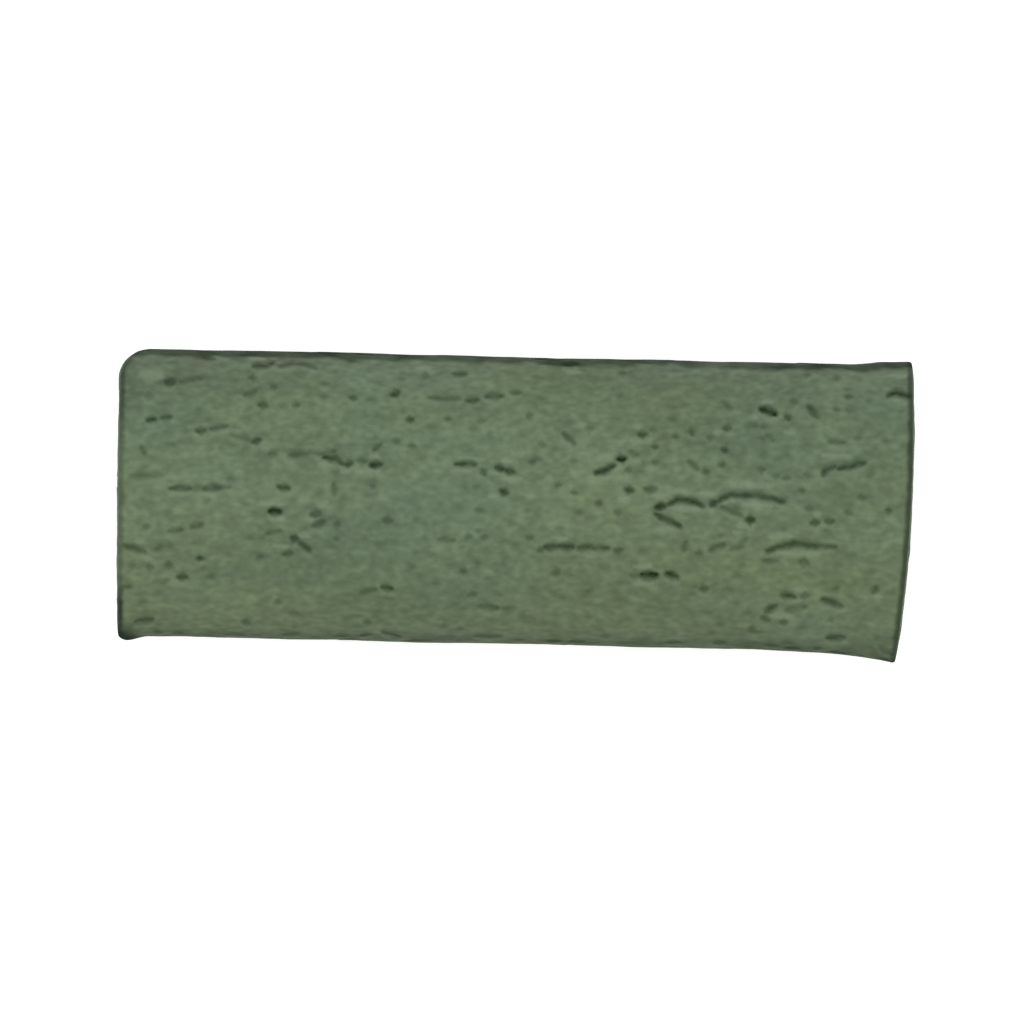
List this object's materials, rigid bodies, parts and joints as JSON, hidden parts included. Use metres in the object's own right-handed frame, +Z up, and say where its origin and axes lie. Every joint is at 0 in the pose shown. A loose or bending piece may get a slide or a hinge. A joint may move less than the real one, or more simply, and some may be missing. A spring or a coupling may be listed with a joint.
{
  "type": "crayon",
  "caption": "Short bare round crayon: an extruded stick of matte pigmented wax, blade-cut at both ends, with fine torn voids along its surface.",
  "frame": {"origin": "on the underside flat, halfway along the stick and straight below its axis", "axes": "+X along the stick from the square butt cut to the bowed far cut, +Y towards the side where the blade went in, +Z up from the flat"},
  "size_m": [0.0304, 0.0114, 0.011],
  "materials": {
    "crayon_wax": "matte grey-green pigmented wax, slightly chalky, with torn voids and darker cut edges"
  },
  "bodies": {
    "root": {"crayon_stick": "crayon_wax"}
  },
  "joints": []
}
